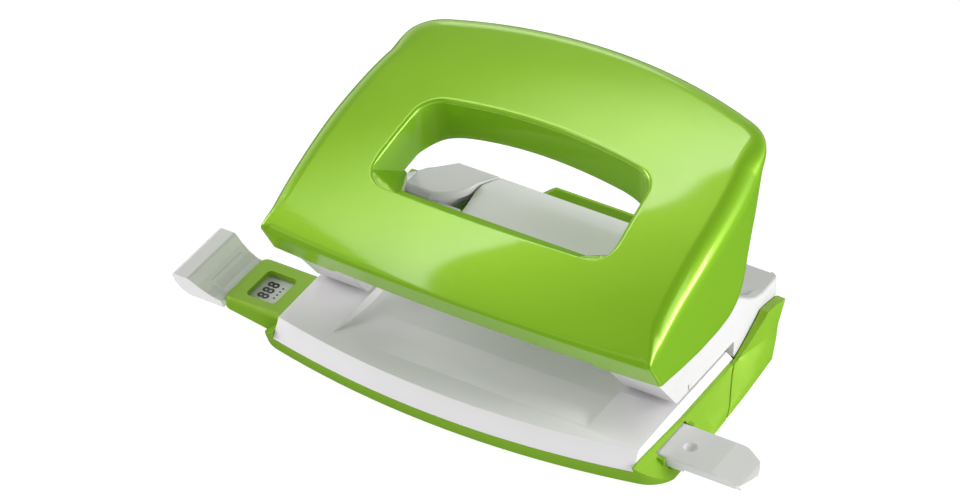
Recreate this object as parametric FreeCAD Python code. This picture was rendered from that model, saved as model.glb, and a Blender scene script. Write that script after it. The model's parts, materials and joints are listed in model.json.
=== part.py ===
import FreeCAD, Part
import math
import os

# Mini two-hole desk punch.  Millimetres, +Z up, the sheet goes in from -Y.
# Origin: on the desk plane, midway between the two punch axes.

V = FreeCAD.Vector
os.makedirs("parts", exist_ok=True)

# ----------------------------------------------------------- driving sizes
PITCH = 80.0            # distance between the two holes
PX = PITCH / 2.0
PUNCH_R = 2.75          # 5.5 mm hole
GUIDE_R = 2.80          # bore of the guide bush
DIE_R = 2.85            # bore of the die bush
MARGIN = 12.2           # hole centre to the end of the paper throat
TABLE_HX = 49.5         # half width of the paper table
TABLE_Z = 10.2          # top of the table at the dies
FOOT_Z = 11.3           # underside of the punch feet
LIP_Z0, LIP_Z1 = 5.0, 9.6
FRONT_R = 222.0         # plan radius of the front edge
FRONT_Y = -39.4         # front of the base on the desk, at x = 0
FRONT_LEAN = -0.44      # the front band leans out by this much per mm of height
BASE_HX = 56.0          # half width of the base on the desk
WALL = 2.0
AXLE_Y, AXLE_Z, AXLE_R = -20.0, 29.0, 2.0
AXLE_BORE = 2.05
NOSE_Z = 33.0           # lowest point of the press nose at rest
NOSE_R = 3.0
PUNCH_TOP = 32.7
PUNCH_TIP = 11.8
HANDLE_HX = 53.0
HWALL = 2.4
BAR_Y0, BAR_Y1 = -27.3, -14.0
BAR_Z0, BAR_Z1 = 2.5, 5.2
BAR_X0, BAR_X1 = -76.4, 74.0
STOP_X = -67.0
TRAY_Y, TRAY_Z = -9.5, 2.3   # hinge line of the chip tray
SEAM_A = (-2.0, 0.0)    # seam between base and chip tray, low end (y, z)
SEAM_B = (8.8, 5.5)     # and high end
DECK_Z0, DECK_Z1 = 3.4, 5.0  # base deck under the dies
RDECK_Z0, RDECK_Z1 = 9.0, 10.6  # raised rear deck that carries the frames


# ----------------------------------------------------------------- helpers
def box(x0, x1, y0, y1, z0, z1):
    return Part.makeBox(x1 - x0, y1 - y0, z1 - z0, V(x0, y0, z0))


def cyl_z(x, y, z0, z1, r):
    return Part.makeCylinder(r, z1 - z0, V(x, y, z0), V(0, 0, 1))


def cyl_x(x0, x1, y, z, r):
    return Part.makeCylinder(r, x1 - x0, V(x0, y, z), V(1, 0, 0))


def cyl_y(x, y0, y1, z, r):
    return Part.makeCylinder(r, y1 - y0, V(x, y0, z), V(0, 1, 0))


def prism_x(pts, x0, x1):
    """Polygon of (y, z) points drawn out along X."""
    w = Part.makePolygon([V(x0, y, z) for y, z in pts] + [V(x0, pts[0][0], pts[0][1])])
    return Part.Face(w).extrude(V(x1 - x0, 0, 0))


def prism_y(pts, y0, y1):
    """Polygon of (x, z) points drawn out along Y."""
    w = Part.makePolygon([V(x, y0, z) for x, z in pts] + [V(pts[0][0], y0, pts[0][1])])
    return Part.Face(w).extrude(V(0, y1 - y0, 0))


def prism_z(pts, z0, z1):
    """Polygon of (x, y) points drawn out along Z."""
    w = Part.makePolygon([V(x, y, z0) for x, y in pts] + [V(pts[0][0], pts[0][1], z0)])
    return Part.Face(w).extrude(V(0, 0, z1 - z0))


def mirror_x(s):
    return s.mirror(V(0, 0, 0), V(1, 0, 0))


def fuse(parts):
    s = parts[0]
    for p in parts[1:]:
        s = s.fuse(p)
    return s.removeSplitter()


def cut(s, tools):
    for t in tools:
        s = s.cut(t)
    return s


def fillet(s, r, test):
    """Round the edges that the test picks, leaving out any that can't take it."""
    picked = [e for e in s.Edges if test(e)]
    if not picked:
        return s
    try:
        f = s.makeFillet(r, picked)
        if f.isValid() and f.Volume > 0:
            return f
    except Part.OCCError:
        pass
    for e in picked:
        try:
            near = [q for q in s.Edges if q.CenterOfMass.distanceToPoint(e.CenterOfMass) < 1e-3]
            f = s.makeFillet(r, near[:1])
            if f.isValid() and f.Volume > 0:
                s = f
        except Exception:
            continue
    return s


def along(e, axis, tol=0.02):
    """True when a straight edge runs along the named axis."""
    if len(e.Vertexes) != 2:
        return False
    d = e.Vertexes[1].Point.sub(e.Vertexes[0].Point)
    if d.Length < 1e-6:
        return False
    return abs(abs(getattr(d, axis)) / d.Length - 1.0) < tol


def solid_of(s):
    """The one real solid in a result, dropping empty shells."""
    sol = sorted(s.Solids, key=lambda q: -q.Volume)
    return sol[0]


NODES = {}


def add(name, shape):
    NODES[name] = shape


# --------------------------------------------------- outer form of the base
def front_prism(inset, z0, z1, lean, hx, y_rear, corner=5.0, y_front=FRONT_Y):
    """Plan outline with a curved front, drawn out along a leaning direction."""
    yc = y_front + FRONT_R
    r = FRONT_R - inset
    h = hx - inset
    c = max(corner - inset, 0.6)
    # corner centre: c inside the side line and c inside the front arc
    cx = h - c
    cy = yc - math.sqrt((r - c) ** 2 - cx ** 2)
    # touching point on the front arc
    ux, uy = cx / (r - c), (cy - yc) / (r - c)
    tx, ty = ux * r, yc + uy * r
    # middle of the corner arc
    a0 = math.atan2(uy, ux)
    am = a0 / 2.0
    mx, my = cx + c * math.cos(am), cy + c * math.sin(am)
    off = lean * z0

    def p(x, y):
        return V(x, y + off, z0)
    e = [Part.Arc(p(-tx, ty), p(0, yc - r), p(tx, ty)).toShape(),
         Part.Arc(p(tx, ty), p(mx, my), p(h, cy)).toShape(),
         Part.LineSegment(p(h, cy), p(h, y_rear)).toShape(),
         Part.LineSegment(p(h, y_rear), p(-h, y_rear)).toShape(),
         Part.LineSegment(p(-h, y_rear), p(-h, cy)).toShape(),
         Part.Arc(p(-h, cy), p(-mx, my), p(-tx, ty)).toShape()]
    return Part.Face(Part.Wire(e)).extrude(V(0, lean * (z1 - z0), z1 - z0))


def skirt_body(inset, z_low):
    """Body whose side walls follow the measured skirt, by sections along Y."""
    rows = [(-60.0, (56.0, 55.2, 52.6, 50.0, 50.0)),
            (-8.0, (56.0, 55.2, 52.6, 50.0, 50.0)),
            (8.0, (55.2, 54.6, 52.5, 50.4, 50.1)),
            (16.0, (54.6, 54.2, 53.0, 51.4, 50.8)),
            (24.0, (53.9, 53.7, 53.2, 52.4, 51.7)),
            (45.0, (53.0, 53.2, 53.1, 52.8, 52.2))]
    zs = (0.0, 1.5, 4.0, 6.4, 17.0)
    wires = []
    for y, xs in rows:
        pts = [V(x - inset, y, z) for x, z in zip(xs, zs)]
        low = [V(xs[0] - inset, y, z_low)] if z_low < 0 else []
        right = low + pts
        left = [V(-q.x, q.y, q.z) for q in reversed(right)]
        wires.append(Part.makePolygon(right + left + [right[0]]))
    return Part.makeLoft(wires, True, True)


def base_form(inset, z0, z1):
    """The outer green form: front band, side skirts and the leaning rear wall."""
    s = skirt_body(inset, min(z0, 0.0) - (1.0 if inset else 0.0))
    s = s.common(front_prism(inset, z0, z1, FRONT_LEAN, 56.4, 60.0, corner=8.5))
    # rear wall: bowed in plan, leaning back as it rises
    yb0, yb1 = 23.9 - inset, 27.2 - inset
    lean = 9.4 / 12.0

    def q(x, y):
        return V(x, y + lean * z0, z0)
    w = [Part.Arc(q(60, yb0 - 1.0), q(0, yb1), q(-60, yb0 - 1.0)).toShape(),
         Part.LineSegment(q(-60, yb0 - 1.0), q(-60, -70)).toShape(),
         Part.LineSegment(q(-60, -70), q(60, -70)).toShape(),
         Part.LineSegment(q(60, -70), q(60, yb0 - 1.0)).toShape()]
    rear = Part.Face(Part.Wire(w)).extrude(V(0, lean * (z1 - z0), z1 - z0))
    return s.common(rear)


BORDER = [(-45.0, 6.9), (-32.8, 6.9), (-23.3, 6.4), (-13.7, 5.9), (5.7, 6.1), (12.0, 6.3),
          (15.4, 7.7), (17.8, 8.8), (20.2, 10.2), (22.6, 11.3), (24.6, 12.7), (29.1, 12.2),
          (34.1, 11.2), (45.0, 9.9)]
border_cut = prism_x(BORDER + [(45.0, 40.0), (-45.0, 40.0)], -70, 70)

outer = base_form(0.0, 0.0, 16.9).cut(border_cut)
inner = base_form(WALL, -1.0, 17.0)

# plane of the seam: base above and in front, chip tray below and behind
sdy, sdz = SEAM_B[0] - SEAM_A[0], SEAM_B[1] - SEAM_A[1]
seam_n = math.hypot(sdy, sdz)


def seam_side(gap, below):
    """Half space below (tray) or above (base) the seam, pulled back by a gap."""
    ny, nz = sdz / seam_n, -sdy / seam_n      # points down and back
    s = gap if below else -gap
    ax, az = SEAM_A[0] + ny * s, SEAM_A[1] + nz * s
    p0 = (ax - sdy * 20 / seam_n * 1.0, az - sdz * 20 / seam_n)
    p1 = (ax + sdy * 80 / seam_n, az + sdz * 80 / seam_n)
    if below:
        return prism_x([p0, p1, (p1[0] + 60, p1[1]), (p1[0] + 60, -40), (p0[0], -40)], -70, 70)
    return prism_x([p0, p1, (p1[0], 60), (-90, 60), (-90, p0[1]), ], -70, 70)


# -------------------------------------------------------------- base shell
shell = outer.cut(inner)
base = shell.common(seam_side(0.15, False))
base = base.common(box(-70, 70, -60, 12.0, -1, 20))
# the lip of the table sits in a recess: nothing green above z 5 inside it
base = base.cut(box(-TABLE_HX - 0.05, TABLE_HX + 0.05, -60, 60, LIP_Z0, 30))
# top ledge that carries the table, at the front and along both sides
ledge = base_form(0.4, 0.0, 16.9).common(box(-70, 70, -60, -12.0, 3.4, LIP_Z0))
ledge = ledge.cut(box(-44.0, 44.0, -34.5, 0, 0, 20))
ledge = ledge.cut(box(-47.2, 47.2, -28.5, 0, 0, 20))
# deck under the dies and raised rear deck
deck = box(-49.0, 49.0, -12.7, 7.0, DECK_Z0, DECK_Z1).fuse(box(-46.6, 46.6, 6.0, 12.2, DECK_Z0, DECK_Z1))
riser = box(-46.6, 46.6, 10.6, 12.2, DECK_Z0, RDECK_Z1)
rdeck = box(-46.6, 46.6, 10.6, 28.6, RDECK_Z0, RDECK_Z1)
# walls of the guide channel
chan_r = box(-53.0, 53.0, BAR_Y1 + 0.3, BAR_Y1 + 1.3, 1.6, LIP_Z0)
chan_f = box(-53.5, 53.5, BAR_Y0 - 1.3, BAR_Y0 - 0.3, 1.6, LIP_Z0)
ribs = [box(x - 0.7, x + 0.7, -36.0, BAR_Y0 - 1.2, 1.6, 3.6) for x in (-40, -20, 0, 20, 40)]
# three bridges keep the bar up
bridge = [box(x - 2.0, x + 2.0, BAR_Y0 - 1.3, BAR_Y1 + 1.3, 0.9, 2.0) for x in (-47, -12, 14)]
bosses = [cyl_x(46.4, 51.6, TRAY_Y, TRAY_Z, 2.3), cyl_x(-51.6, -46.4, TRAY_Y, TRAY_Z, 2.3)]
screw_xy = [(34.6, 16.0), (37.4, 26.0), (43.0, 16.0), (43.4, 26.0)]
# window housing on the left
hx0, hx1, hy0, hy1, hz0, hz1 = -67.6, -TABLE_HX - 0.05, -30.3, -11.3, 1.0, 7.0
hous = box(hx0, hx1, hy0, hy1, hz0, hz1)
hous = fillet(hous, 2.4, lambda e: along(e, "z") and e.CenterOfMass.x < -66)
hous = fillet(hous, 1.3, lambda e: e.CenterOfMass.z > 6.9 and e.CenterOfMass.x < -55)
# its underside rises towards the outer end
hous = hous.cut(prism_y([(-70.0, -1.0), (-48.0, -1.0), (-48.0, 0.9), (-70.0, 4.5)], -35, -5))
body = fuse([base, ledge, deck, riser, rdeck, chan_r, chan_f, hous] + ribs + bridge + bosses)
channel = box(-75, -46.0, BAR_Y0 - 0.3, BAR_Y1 + 0.3, 2.1, 5.6)
channel_r = box(44.0, 60.0, BAR_Y0 - 0.3, BAR_Y1 + 0.3, 2.1, 5.6)
window = fillet(box(-63.2, -55.0, -26.7, -15.7, 4.0, 9.0), 1.2, lambda e: along(e, "z"))
tools = [channel, channel_r, window]
# chips drop through the deck
tools += [cyl_z(sx * PX, 0, 3.0, 5.2, 4.2) for sx in (-1, 1)]
# tray pivots run in blind bores
tools += [cyl_x(46.0, 51.0, TRAY_Y, TRAY_Z, 1.35), cyl_x(-51.0, -46.0, TRAY_Y, TRAY_Z, 1.35)]
# room for the lugs of the chip tray
tools += [box(43.7, 46.45, -12.6, -6.9, 3.0, 5.2), box(-46.45, -43.7, -12.6, -6.9, 3.0, 5.2)]
# pilot holes for the frame screws
tools += [cyl_z(sx * x, y, 8.0, 12.0, 1.55) for sx in (-1, 1) for x, y in screw_xy]
# recess under the table for the die plate
body = cut(body, tools)
base_shell = solid_of(body)
add("base_shell", base_shell)

# --------------------------------------------------------------- chip tray
tray = shell.common(seam_side(0.15, True))
floor = base_form(0.3, 0.0, 1.3)
floor = floor.common(seam_side(0.15, True))
tongue = box(-44.2, 44.2, -8.6, 1.4, 0.0, 1.3)
lug = [box(44.2, 46.0, -11.5, 2.0, 0.0, 3.0), box(-46.0, -44.2, -11.5, 2.0, 0.0, 3.0)]
lug += [cyl_x(44.2, 46.0, TRAY_Y, TRAY_Z, 2.0), cyl_x(-46.0, -44.2, TRAY_Y, TRAY_Z, 2.0)]
lug = [q.cut(box(-50, 50, -14, TRAY_Y, -1, 0.6)) for q in lug]
stub = [cyl_x(44.2, 50.6, TRAY_Y, TRAY_Z, 1.3), cyl_x(-50.6, -44.2, TRAY_Y, TRAY_Z, 1.3)]
# finger tab on the middle of the rear wall
tab = prism_x([(33.2, 8.6), (35.6, 8.6), (38.7, 15.0), (38.6, 15.8), (38.0, 16.25), (37.4, 16.15), (35.8, 14.3), (35.6, 13.6), (35.6, 11.2)], -18.5, 18.5)
# with slanted ends
tab = tab.common(prism_y([(-18.5, 8.0), (-18.5, 12.9), (-13.4, 16.6), (13.4, 16.6), (18.5, 12.9), (18.5, 8.0)], 30.0, 42.0))
tray = tray.cut(box(-49.8, 49.8, -20.0, 12.6, 4.6, 20.0))
tray = tray.cut(box(-49.8, 49.8, 28.0, 60, 11.1, 40))
tray = cut(tray, [box(46.9, 49.8, 12.0, 28.5, 6.2, 20), box(-49.8, -46.9, 12.0, 28.5, 6.2, 20)])
# flange inside the rear top corners, beside the white cheeks
flange = base_form(0.2, 0.0, 16.9).cut(border_cut).common(box(49.8, 60, 12.8, 33.0, 6.6, 20.0))
tray = fuse([tray, floor, tongue, tab, flange, mirror_x(flange)] + lug + stub)
# the left rear corner is lower, like the pad beside it
tray = tray.cut(box(-60, -49.8, 27.5, 60, 11.1, 40))
add("chip_tray", solid_of(tray))

# ------------------------------------------------------------- table plate
lip_lean = 2.65 / (LIP_Z1 - LIP_Z0)
yc = FRONT_Y + FRONT_LEAN * LIP_Z0 + FRONT_R


def table_form(inset, z0, z1, y_rear):
    r = FRONT_R - inset
    h = TABLE_HX - inset
    off = lip_lean * (z0 - LIP_Z0)
    ya = yc - math.sqrt(r * r - h * h)

    def p(x, y):
        return V(x, y + off, z0)
    e = [Part.Arc(p(-h, ya), p(0, yc - r), p(h, ya)).toShape(),
         Part.LineSegment(p(h, ya), p(h, y_rear - off)).toShape(),
         Part.LineSegment(p(h, y_rear - off), p(-h, y_rear - off)).toShape(),
         Part.LineSegment(p(-h, y_rear - off), p(-h, ya)).toShape()]
    return Part.Face(Part.Wire(e)).extrude(V(0, lip_lean * (z1 - z0), z1 - z0))


table = table_form(0.0, LIP_Z0, 12.0, 40.0)
table = table.cut(prism_x([(-45, LIP_Z1), (-38.0, LIP_Z1), (-17.0, TABLE_Z), (8.8, TABLE_Z),
                           (MARGIN - 0.2, 6.2), (MARGIN - 0.2, 4.0), (60, 4.0), (60, 30), (-45, 30)], -60, 60))
# middle of the table falls away towards the rear
table = table.cut(prism_x([(-32.0, 9.77), (-23.5, 8.2), (-17.0, 7.4), (20, 7.4), (20, 12), (-32, 12)], -35, 35))
hollow = table_form(2.2, LIP_Z0 - 1, 5.9, 60.0).common(box(-46.9, 46.9, -60, 60, 0, 20))
hollow = hollow.fuse(box(-46.9, 46.9, -8.6, 60, 3.0, 6.7))
table = table.cut(hollow)
table = table.cut(box(-46.7, 46.7, 9.5, 30, 0, 30))
table = table.cut(box(-60, 60, BAR_Y0 - 0.3, BAR_Y1 + 0.3, 4.0, 5.6))
table = cut(table, [cyl_z(sx * PX, 0, 5, 12, 5.5) for sx in (-1, 1)])
table = fillet(table, 0.5, lambda e: e.CenterOfMass.z > 9.0 and e.Length > 60 and e.CenterOfMass.y < -30)
add("table_plate", solid_of(table))

# ------------------------------------------------------ dies and die plate
dp = box(-46.6, 46.6, -8.0, 8.0, DECK_Z1, 6.6)
dp = cut(dp, [cyl_z(sx * PX, 0, 4, 8, 3.6) for sx in (-1, 1)])
dp = fillet(dp, 2.0, lambda e: along(e, "z"))
add("die_plate", dp)
for side, sx in (("left", -1), ("right", 1)):
    d = cyl_z(sx * PX, 0, 6.6, TABLE_Z, 5.5).fuse(cyl_z(sx * PX, 0, 5.0, 6.6, 3.6))
    d = d.removeSplitter().cut(cyl_z(sx * PX, 0, 4, 12, DIE_R))
    add("die_bush_" + side, d)


# ------------------------------------------------------------- side frames
def side_frame():
    """Right-hand frame: hollow tower over the table and pad behind it."""
    prof = [(-15.6, FOOT_Z), (-24.4, 22.4), (-25.3, 25.2), (-25.0, 30.0), (-23.2, 33.0), (-20.0, 34.2),
            (-15.0, 33.2), (-6.0, 29.4), (2.0, 25.8), (8.0, 24.4), (12.0, 23.6), (16.0, 21.8), (20.0, 18.8),
            (23.4, 16.8), (27.0, 16.0), (35.2, 16.0), (34.9, 11.5), (29.1, 11.6), (27.8, 12.0), (24.6, 12.0), (22.6, 10.7),
            (20.2, 9.6), (17.8, 8.2), (15.4, 7.1), (MARGIN, 6.6), (MARGIN, FOOT_Z)]
    outer_cheek = prism_x(prof, 47.0, 49.5)
    outer_cheek = fillet(outer_cheek, 0.9, lambda e: abs(e.CenterOfMass.x - 49.5) < 0.01 and e.CenterOfMass.z > 12
                         and e.CenterOfMass.y > 8 and e.CenterOfMass.y < 36)
    tower = [(-15.6, FOOT_Z), (-24.4, 22.4), (-25.3, 25.2), (-25.0, 30.0), (-23.2, 33.0), (-20.0, 34.2),
             (-15.0, 33.2), (-6.0, 25.0), (4.0, 20.0), (MARGIN, 18.0), (MARGIN, FOOT_Z)]
    inner_cheek = prism_x(tower, 35.2, 36.3)
    front = prism_x([(-15.6, FOOT_Z), (-24.4, 22.4), (-22.6, 22.6), (-14.8, 13.4), (-14.0, FOOT_Z)], 35.2, 49.0)
    sole = box(35.2, 49.0, -15.4, MARGIN, FOOT_Z, 13.2)
    back = box(35.2, 49.0, 10.2, MARGIN, 10.6, 18.0)
    boss = cyl_z(PX, 0, 12.0, 17.0, 4.75)
    rib = box(43.5, 48.0, -0.7, 0.7, 13.0, 16.0)
    # pad behind the tower: rounded inner front corner
    z0, z1 = 13.8, 16.0
    e = [Part.LineSegment(V(48.2, 21.1, z0), V(40.0, 20.8, z0)).toShape(),
         Part.Arc(V(40.0, 20.8, z0), V(34.3, 24.5, z0), V(31.7, 30.2, z0)).toShape(),
         Part.LineSegment(V(31.7, 30.2, z0), V(28.5, 35.4, z0)).toShape(),
         Part.LineSegment(V(28.5, 35.4, z0), V(47.6, 35.2, z0)).toShape(),
         Part.Arc(V(47.6, 35.2, z0), V(48.9, 34.7, z0), V(49.4, 33.4, z0)).toShape(),
         Part.LineSegment(V(49.4, 33.4, z0), V(49.4, 22.3, z0)).toShape(),
         Part.LineSegment(V(49.4, 22.3, z0), V(48.2, 21.1, z0)).toShape()]
    pad = Part.Face(Part.Wire(e)).extrude(V(0, 0, z1 - z0))
    pad = fillet(pad, 0.8, lambda q: abs(q.CenterOfMass.z - z1) < 0.01 and q.CenterOfMass.y < 33)
    rear_wall = box(29.9, 47.4, 33.4, 35.1, 11.5, 14.2)
    legs = [cyl_z(x, y, RDECK_Z1, 14.5 if y > 20 else 13.0, 2.3) for x, y in screw_xy]
    # wall under the front edge of the pad
    wall_out = [(48.0, 21.6), (40.3, 21.4), (38.0, 22.3), (36.2, 23.8), (34.7, 25.7), (33.4, 28.1), (32.3, 30.6), (31.0, 33.0), (29.8, 35.0)]
    wall_in = [(48.0, 22.7), (40.6, 22.5), (38.7, 23.3), (37.1, 24.6), (35.7, 26.4), (34.4, 28.7), (33.3, 31.2), (32.0, 33.4), (31.0, 35.0)]
    pad_wall = prism_z(wall_out + list(reversed(wall_in)), 11.5, 14.2)
    pad_wall = pad_wall.fuse(pad_wall.common(box(28, 50, 20, 28.3, 11, 12)).translated(V(0, 0, -0.9)))
    foot_plate = box(31.9, 48.0, 9.6, 22.0, RDECK_Z1, 13.0).fuse(box(31.9, 46.6, 9.6, 10.5, 8.3, RDECK_Z1)).removeSplitter()
    s = fuse([outer_cheek, inner_cheek, front, sole, back, boss, rib, pad, rear_wall, foot_plate, pad_wall] + legs)
    tools = [cyl_z(PX, 0, 10, 20, 3.7), cyl_x(30, 60, AXLE_Y, AXLE_Z, AXLE_R)]
    tools += [cyl_z(x, y, RDECK_Z1 - 1, 13.0 if y > 20 else 12.4, 1.2) for x, y in screw_xy]
    tools.append(box(48.6, 50.5, -10.2, -9.5, 10.0, 13.1))
    # the rear corner of the cheek is rounded in plan
    corner = box(46.5, 51.0, 32.3, 37.0, 5, 20).cut(cyl_z(46.5, 32.3, 4, 21, 3.0))
    tools.append(corner)
    return cut(s, tools)


sf = solid_of(side_frame())
add("side_frame_right", sf)
# the left pad falls away at its outer rear corner
n = V(-27.28, 24.03, 49.58)
n.normalize()
u = n.cross(V(0, 0, 1))
u.normalize()
v = n.cross(u)
c = V(-44.9, 31.4, 14.9)
quad = [c + u * 12 + v * 12, c - u * 12 + v * 12, c - u * 12 - v * 12, c + u * 12 - v * 12]
fall = Part.Face(Part.makePolygon(quad + [quad[0]])).extrude(n * 8)
fall = fall.common(box(-52, -36, 20, 38, 11.6, 20))
add("side_frame_left", solid_of(mirror_x(sf).cut(fall)))

# --------------------------------------------------------------- rear ramp
ramp_top = [(9.6, 11.2), (12.0, 11.4), (16.0, 11.7), (20.0, 12.2), (24.0, 13.05), (27.6, 14.2), (29.4, 14.9), (30.6, 15.3), (31.9, 15.52),
            (33.4, 15.6), (35.2, 15.6)]
ramp_low = [(35.2, 11.5), (33.8, 11.5), (33.8, 14.0), (30.6, 13.8), (28.4, 13.0), (24.0, 11.7), (20.0, RDECK_Z1), (10.5, RDECK_Z1),
            (10.5, 8.3), (9.6, 8.3)]
ramp_curve = Part.BSplineCurve()
ramp_curve.interpolate([V(-34.0, y, z) for y, z in ramp_top])
ramp_wire = Part.makePolygon([V(-34.0, y, z) for y, z in [ramp_top[-1]] + ramp_low + [ramp_top[0]]])
ramp = Part.Face(Part.Wire([ramp_curve.toShape()] + ramp_wire.Edges)).extrude(V(68.0, 0, 0))
# side outline in plan follows the pads with a fine joint
out = [(31.5, 9.0), (31.5, 28.6), (30.9, 30.6), (28.25, 34.9), (28.25, 40.0)]
ramp = ramp.common(prism_z(out + [(-x, y) for x, y in reversed(out)], 0, 40))
ramp = ramp.removeSplitter()
add("rear_ramp", solid_of(ramp))

# ------------------------------------------------------------ guide bushes
for side, sx in (("left", -1), ("right", 1)):
    g = cyl_z(sx * PX, 0, FOOT_Z, 17.6, 3.7).fuse(cyl_z(sx * PX, 0, 17.6, 18.0, 3.4))
    g = g.removeSplitter().cut(cyl_z(sx * PX, 0, 10, 20, GUIDE_R))
    add("guide_bush_" + side, g)

# -------------------------------------------------------------- axle, clips
axle = cyl_x(-51.6, 51.6, AXLE_Y, AXLE_Z, AXLE_R)
ring_cuts = [cyl_x(sx * 33.6 - 0.4, sx * 33.6 + 0.4, AXLE_Y, AXLE_Z, 3).cut(
    cyl_x(sx * 33.6 - 0.4, sx * 33.6 + 0.4, AXLE_Y, AXLE_Z, 1.5)) for sx in (-1, 1)]
axle = cut(axle, ring_cuts)
add("handle_axle", axle)
clips = []
for sx in (-1, 1):
    c = cyl_x(sx * 33.6 - 0.4, sx * 33.6 + 0.4, AXLE_Y, AXLE_Z, 3.6).cut(
        cyl_x(sx * 33.6 - 1, sx * 33.6 + 1, AXLE_Y, AXLE_Z, 1.5))
    c = c.cut(box(sx * 33.6 - 1, sx * 33.6 + 1, AXLE_Y - 1.1, AXLE_Y + 1.1, AXLE_Z - 5, AXLE_Z - 0.6))
    clips.append(c)
add("axle_clips", Part.makeCompound(clips))

# ------------------------------------------------------------ frame screws
scr = []
for sx in (-1, 1):
    for x, y in screw_xy:
        top = 12.8 if y > 20 else 12.2
        s = cyl_z(sx * x, y, RDECK_Z0 - 1.6, RDECK_Z0, 2.5).fuse(cyl_z(sx * x, y, RDECK_Z0 - 0.1, top, 1.2))
        s = s.removeSplitter().cut(box(sx * x - 2.0, sx * x + 2.0, y - 0.35, y + 0.35, RDECK_Z0 - 2, RDECK_Z0 - 0.9))
        s = s.cut(box(sx * x - 0.35, sx * x + 0.35, y - 2.0, y + 2.0, RDECK_Z0 - 2, RDECK_Z0 - 0.9))
        scr.append(s)
add("frame_screws", Part.makeCompound(scr))

# ------------------------------------------------------------------ punches
for side, sx in (("left", -1), ("right", 1)):
    p = cyl_z(sx * PX, 0, PUNCH_TIP, PUNCH_TOP, PUNCH_R)
    # ground tip: two cutting points with a hollow between them
    p = p.cut(cyl_y(sx * PX, -4, 4, PUNCH_TIP - 3.4, 4.3))
    ring = cyl_z(sx * PX, 0, 29.6, 30.4, 3).cut(cyl_z(sx * PX, 0, 29.5, 30.5, 2.1))
    p = p.cut(ring)
    p = fillet(p, 0.5, lambda e: abs(e.CenterOfMass.z - PUNCH_TOP) < 0.01)
    add("punch_" + side, p)
    c = cyl_z(sx * PX, 0, 29.6, 30.4, 3.7).cut(cyl_z(sx * PX, 0, 29, 31, 2.1))
    c = c.cut(box(sx * PX - 1.6, sx * PX + 1.6, -5, -0.9, 29, 31))
    add("punch_clip_" + side, c)
    # return spring between bush and clip: half turns of round wire, the first and last lying flat
    wire_r, mean_r = 0.32, 3.32
    zb, zt = 18.0 + wire_r, 29.6 - wire_r
    halves = 13
    rise = (zt - zb) / (halves - 2)
    z, at, coil = zb, 1.0, []
    for k in range(halves):
        dz = 0.0 if k in (0, halves - 1) else rise
        face = Part.Face(Part.Wire(Part.makeCircle(wire_r, V(sx * PX + at * mean_r, 0, z), V(0, 1, 0))))
        # each half turn is a semicircle in a plane tilted about Y, so that it meets the next one square on
        dx = -2.0 * at * mean_r
        axis = V(-dz, 0.0, dx)
        if axis.z < 0:
            axis = axis.multiply(-1.0)
        coil.append(face.revolve(V(sx * PX, 0, z + dz / 2.0), axis, 180.0))
        z += dz
        at = -at
    sp = coil[0]
    for c in coil[1:]:
        sp = sp.fuse(c)
    add("spring_" + side, solid_of(sp))

# ---------------------------------------------------------------- guide bar
bar = box(BAR_X0, 65.2, BAR_Y0, BAR_Y1, BAR_Z0, BAR_Z1)
bar = bar.cut(box(BAR_X0 - 1, 53.0, BAR_Y0 + 2.0, BAR_Y1 - 2.0, 0, BAR_Z0 + 0.9))
tab_end = prism_y([(65.2, BAR_Z0), (65.2, BAR_Z1), (72.7, 3.95), (74.0, 3.4), (74.0, 2.3), (72.8, 2.3),
                   (71.6, 2.5)], BAR_Y0, BAR_Y1)
round_end = prism_z([(60, BAR_Y0), (71.9, BAR_Y0), (72.6, BAR_Y0 + 0.5), (73.0, BAR_Y0 + 1.6), (73.8, BAR_Y0 + 5.0),
                     (74.0, BAR_Y0 + 6.6), (73.8, BAR_Y0 + 7.6), (72.6, BAR_Y1 - 2.6), (72.2, BAR_Y1 - 2.2),
                     (68.4, BAR_Y1 - 0.15), (67.6, BAR_Y1), (60, BAR_Y1)], 0, 8)
bar = bar.fuse(tab_end.common(round_end)).removeSplitter()
# finger recess along the underside of the end
bar = bar.cut(box(58.0, 76.0, BAR_Y0 - 1.0, BAR_Y0 + 0.9, 0, 3.1))
bar = bar.cut(Part.makeSphere(2.3, V(56.6, -21.3, BAR_Z1 + 1.5)))
bar = fillet(bar, 0.5, lambda e: e.CenterOfMass.z > BAR_Z1 - 0.01 and along(e, "x") and e.Length > 40)
# detent notches on the underside edge, and a seat for the format strip
bar = bar.cut(box(-67.2, -53.0, BAR_Y0 + 1.6, BAR_Y1 - 1.6, BAR_Z1 - 0.35, BAR_Z1 + 1))
bar = cut(bar, [cyl_y(x, BAR_Y0 - 1, BAR_Y0 + 2.0, BAR_Z0 - 0.3, 0.8) for x in (-20.0, 6.0, 30.0, 46.0)])
add("guide_bar", solid_of(bar))

strip = box(-66.5, -53.2, BAR_Y0 + 1.8, BAR_Y1 - 1.8, BAR_Z1 - 0.35, BAR_Z1 - 0.1)
add("format_strip", strip)

# -------------------------------------------------------------- paper stop
stop_prof = [(-80.4, 8.2), (-80.3, 10.1), (-80.0, 10.6), (-79.4, 10.8), (-75.9, 10.8), (-75.3, 10.5), (-73.6, 8.6), (-71.6, 6.9),
             (-69.6, 5.8), (-67.9, 5.3), (-67.9, BAR_Z0), (-76.7, BAR_Z0), (-78.0, 2.9), (-79.1, 3.8),
             (-79.8, 5.0), (-80.2, 6.5)]
stop = prism_y(stop_prof, -36.0, -11.6)
# raised panel on the inner face
panel = prism_y([(-72.5, 7.7), (-72.2, 7.85), (-71.4, 7.15), (-69.5, 6.15), (-67.9, 5.7), (-67.9, 4.5), (-72.0, 6.0)], -27.1, -14.2)
stop = stop.fuse(panel).removeSplitter()
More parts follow.
